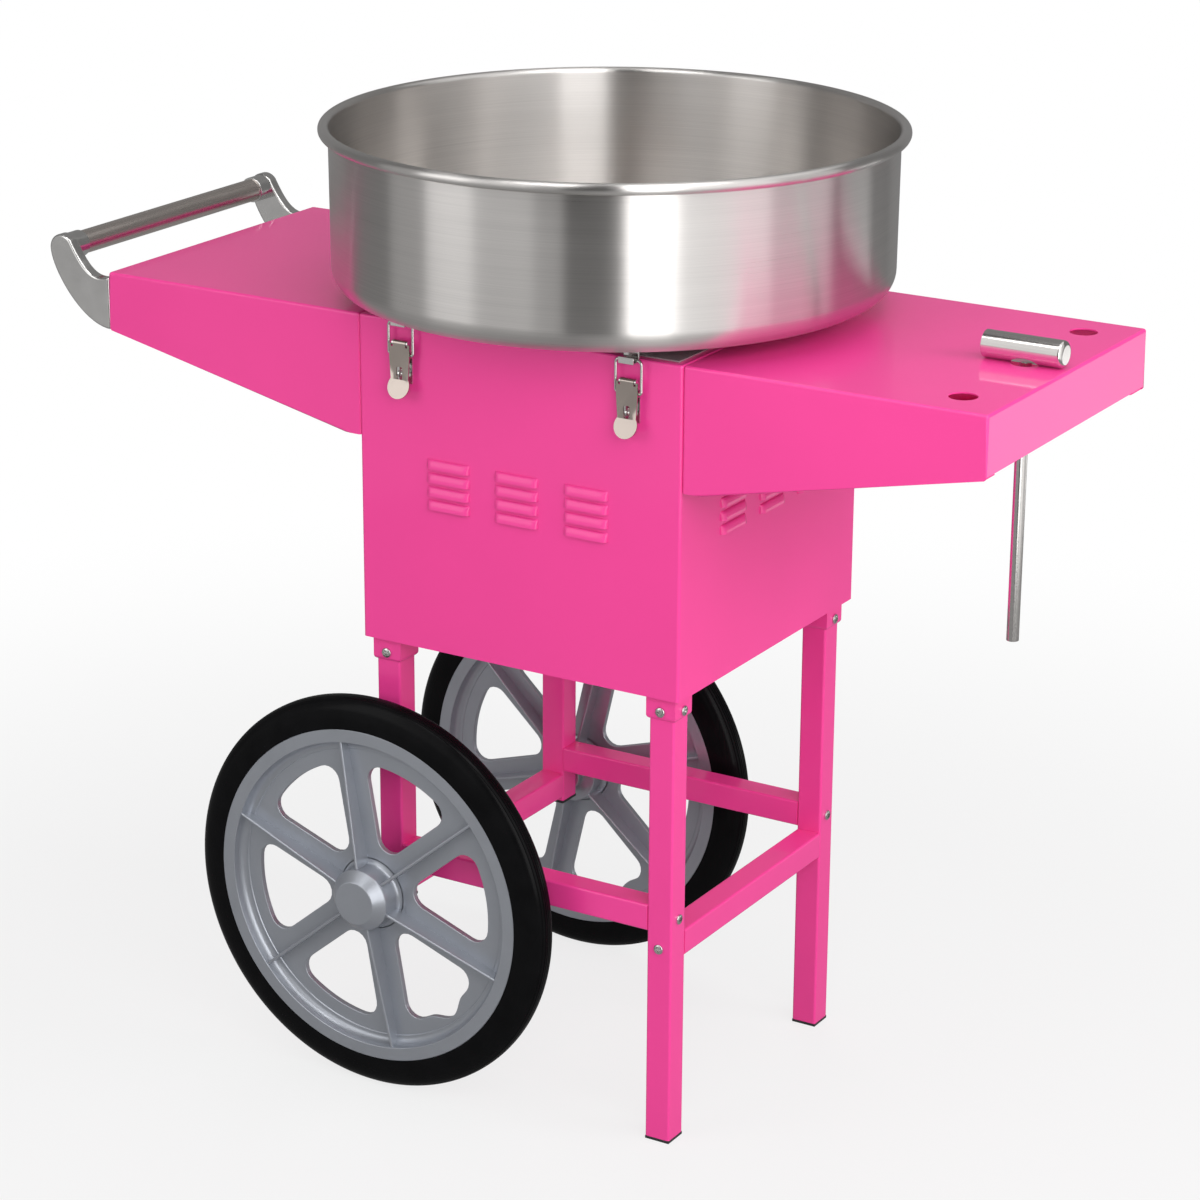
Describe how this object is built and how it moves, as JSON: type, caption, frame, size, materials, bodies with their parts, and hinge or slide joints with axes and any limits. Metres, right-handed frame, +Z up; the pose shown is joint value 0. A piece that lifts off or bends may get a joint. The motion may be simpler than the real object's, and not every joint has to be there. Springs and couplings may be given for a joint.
{
  "type": "cotton candy cart",
  "caption": "Wheeled cotton candy cart: spinner head in a lift-off steel bowl on a louvred cabinet, with folding latches, side trays, push handle and spoked wheels.",
  "frame": {"origin": "on the floor under the middle of the whole cart's box; the bowl's and spinner's axis is 34 mm to the right of it", "axes": "+Z up, +X from the push handle towards the tray with the holes, +Y from the louvred front towards the control side"},
  "size_m": [0.96, 0.524, 0.8973],
  "materials": {
    "pink_paint": "gloss powder coat",
    "stainless": "fine brushed stainless steel",
    "deck_steel": "dark brushed steel",
    "chrome": "polished chrome plate",
    "wheel_grey": "satin silver-grey moulding",
    "tyre_black": "smooth black rubber with fine grooves",
    "black_plastic": "moulded black plastic",
    "rubber": "matt black rubber",
    "zinc_steel": "zinc plated steel",
    "cast_aluminium": "turned aluminium",
    "heater_alloy": "heat tinted alloy strip",
    "brass": "turned brass",
    "motor_paint": "dark grey stove enamel",
    "rocker_red": "gloss red moulding"
  },
  "bodies": {
    "cart": {"cabinet_wrap": "pink_paint", "rear_panel": "pink_paint", "deck_plate": "deck_steel", "floor_pan": "pink_paint", "leg_sockets": "pink_paint", "front_left_leg": "pink_paint", "rear_left_leg": "pink_paint", "front_right_leg": "pink_paint", "rear_right_leg": "pink_paint", "front_rail": "pink_paint", "rear_rail": "pink_paint", "left_rail": "pink_paint", "right_rail": "pink_paint", "leg_plugs": "black_plastic", "frame_screws": "chrome", "axle": "zinc_steel", "axle_nuts": "zinc_steel", "left_tray": "pink_paint", "right_tray": "pink_paint", "tray_screws": "chrome", "handle_tube": "chrome", "handle_brackets": "chrome", "latch_bases": "chrome", "case_fasteners": "chrome", "bowl_seat": "cast_aluminium", "bowl_gasket": "rubber", "motor_bracket": "zinc_steel", "motor_mounts": "rubber", "motor_housing": "motor_paint", "brush_block": "black_plastic", "carbon_brushes": "black_plastic", "switch_bodies": "black_plastic", "heat_control": "zinc_steel", "power_inlet": "black_plastic"},
    "bowl": {"bowl": "stainless", "bowl_catches": "chrome"},
    "spinner": {"spinner_shaft": "zinc_steel", "spinner_head": "cast_aluminium", "heater_band": "heater_alloy", "spinner_cap": "cast_aluminium", "slip_rings": "brass"},
    "front_wheel": {"front_wheel": "wheel_grey", "front_tyre": "tyre_black", "front_hub_cap": "wheel_grey"},
    "rear_wheel": {"rear_wheel": "wheel_grey", "rear_tyre": "tyre_black", "rear_hub_cap": "wheel_grey"},
    "scoop": {"scoop_cup": "stainless", "scoop_rod": "stainless"},
    "power_rocker": {"power_rocker": "rocker_red"},
    "heat_rocker": {"heat_rocker": "rocker_red"},
    "heat_knob": {"heat_knob": "black_plastic"},
    "front_left_lever": {"front_left_lever": "chrome"},
    "front_left_bail": {"front_left_bail": "chrome"},
    "front_right_lever": {"front_right_lever": "chrome"},
    "front_right_bail": {"front_right_bail": "chrome"},
    "rear_left_lever": {"rear_left_lever": "chrome"},
    "rear_left_bail": {"rear_left_bail": "chrome"},
    "rear_right_lever": {"rear_right_lever": "chrome"},
    "rear_right_bail": {"rear_right_bail": "chrome"}
  },
  "joints": [
    {"name": "front_wheel_spin", "type": "hinge", "parent": "cart", "child": "front_wheel", "pos_m": [-0.11, -0.1838, 0.1915], "axis": [0, 1, 0], "continuous": true},
    {"name": "rear_wheel_spin", "type": "hinge", "parent": "cart", "child": "rear_wheel", "pos_m": [-0.11, 0.1838, 0.1915], "axis": [0, 1, 0], "continuous": true},
    {"name": "spinner_spin", "type": "hinge", "parent": "cart", "child": "spinner", "pos_m": [0.034, 0, 0.7648], "axis": [0, 0, 1], "continuous": true},
    {"name": "bowl_lift", "type": "slide", "parent": "cart", "child": "bowl", "axis": [0, 0, 1], "range_m": [0, 0.25]},
    {"name": "scoop_lift", "type": "slide", "parent": "cart", "child": "scoop", "axis": [0, 0, 1], "range_m": [0, 0.26]},
    {"name": "power_rocker_tilt", "type": "hinge", "parent": "cart", "child": "power_rocker", "pos_m": [0.094, 0.16, 0.638], "axis": [1, 0, 0], "range_deg": [0, 20]},
    {"name": "heat_rocker_tilt", "type": "hinge", "parent": "cart", "child": "heat_rocker", "pos_m": [0.034, 0.16, 0.638], "axis": [1, 0, 0], "range_deg": [0, 20]},
    {"name": "heat_knob_turn", "type": "hinge", "parent": "cart", "child": "heat_knob", "pos_m": [-0.026, 0.163, 0.638], "axis": [0, 1, 0], "range_deg": [-135, 135]},
    {"name": "front_left_lever_swing", "type": "hinge", "parent": "cart", "child": "front_left_lever", "pos_m": [-0.082, -0.169, 0.716], "axis": [-1, 0, 0], "range_deg": [0, 95]},
    {"name": "front_left_bail_swing", "type": "hinge", "parent": "front_left_lever", "child": "front_left_bail", "pos_m": [-0.082, -0.169, 0.706], "axis": [-1, 0, 0], "range_deg": [-71.25, 0]},
    {"name": "front_right_lever_swing", "type": "hinge", "parent": "cart", "child": "front_right_lever", "pos_m": [0.15, -0.169, 0.716], "axis": [-1, 0, 0], "range_deg": [0, 95]},
    {"name": "front_right_bail_swing", "type": "hinge", "parent": "front_right_lever", "child": "front_right_bail", "pos_m": [0.15, -0.169, 0.706], "axis": [-1, 0, 0], "range_deg": [-71.25, 0]},
    {"name": "rear_left_lever_swing", "type": "hinge", "parent": "cart", "child": "rear_left_lever", "pos_m": [-0.082, 0.169, 0.716], "axis": [1, 0, 0], "range_deg": [0, 95]},
    {"name": "rear_left_bail_swing", "type": "hinge", "parent": "rear_left_lever", "child": "rear_left_bail", "pos_m": [-0.082, 0.169, 0.706], "axis": [1, 0, 0], "range_deg": [-71.25, 0]},
    {"name": "rear_right_lever_swing", "type": "hinge", "parent": "cart", "child": "rear_right_lever", "pos_m": [0.15, 0.169, 0.716], "axis": [1, 0, 0], "range_deg": [0, 95]},
    {"name": "rear_right_bail_swing", "type": "hinge", "parent": "rear_right_lever", "child": "rear_right_bail", "pos_m": [0.15, 0.169, 0.706], "axis": [1, 0, 0], "range_deg": [-71.25, 0]}
  ],
  "couplings": [
    {"joint": "front_left_bail_swing", "follows": "front_left_lever_swing", "ratio": -0.75},
    {"joint": "front_right_bail_swing", "follows": "front_right_lever_swing", "ratio": -0.75},
    {"joint": "rear_left_bail_swing", "follows": "rear_left_lever_swing", "ratio": -0.75},
    {"joint": "rear_right_bail_swing", "follows": "rear_right_lever_swing", "ratio": -0.75}
  ]
}
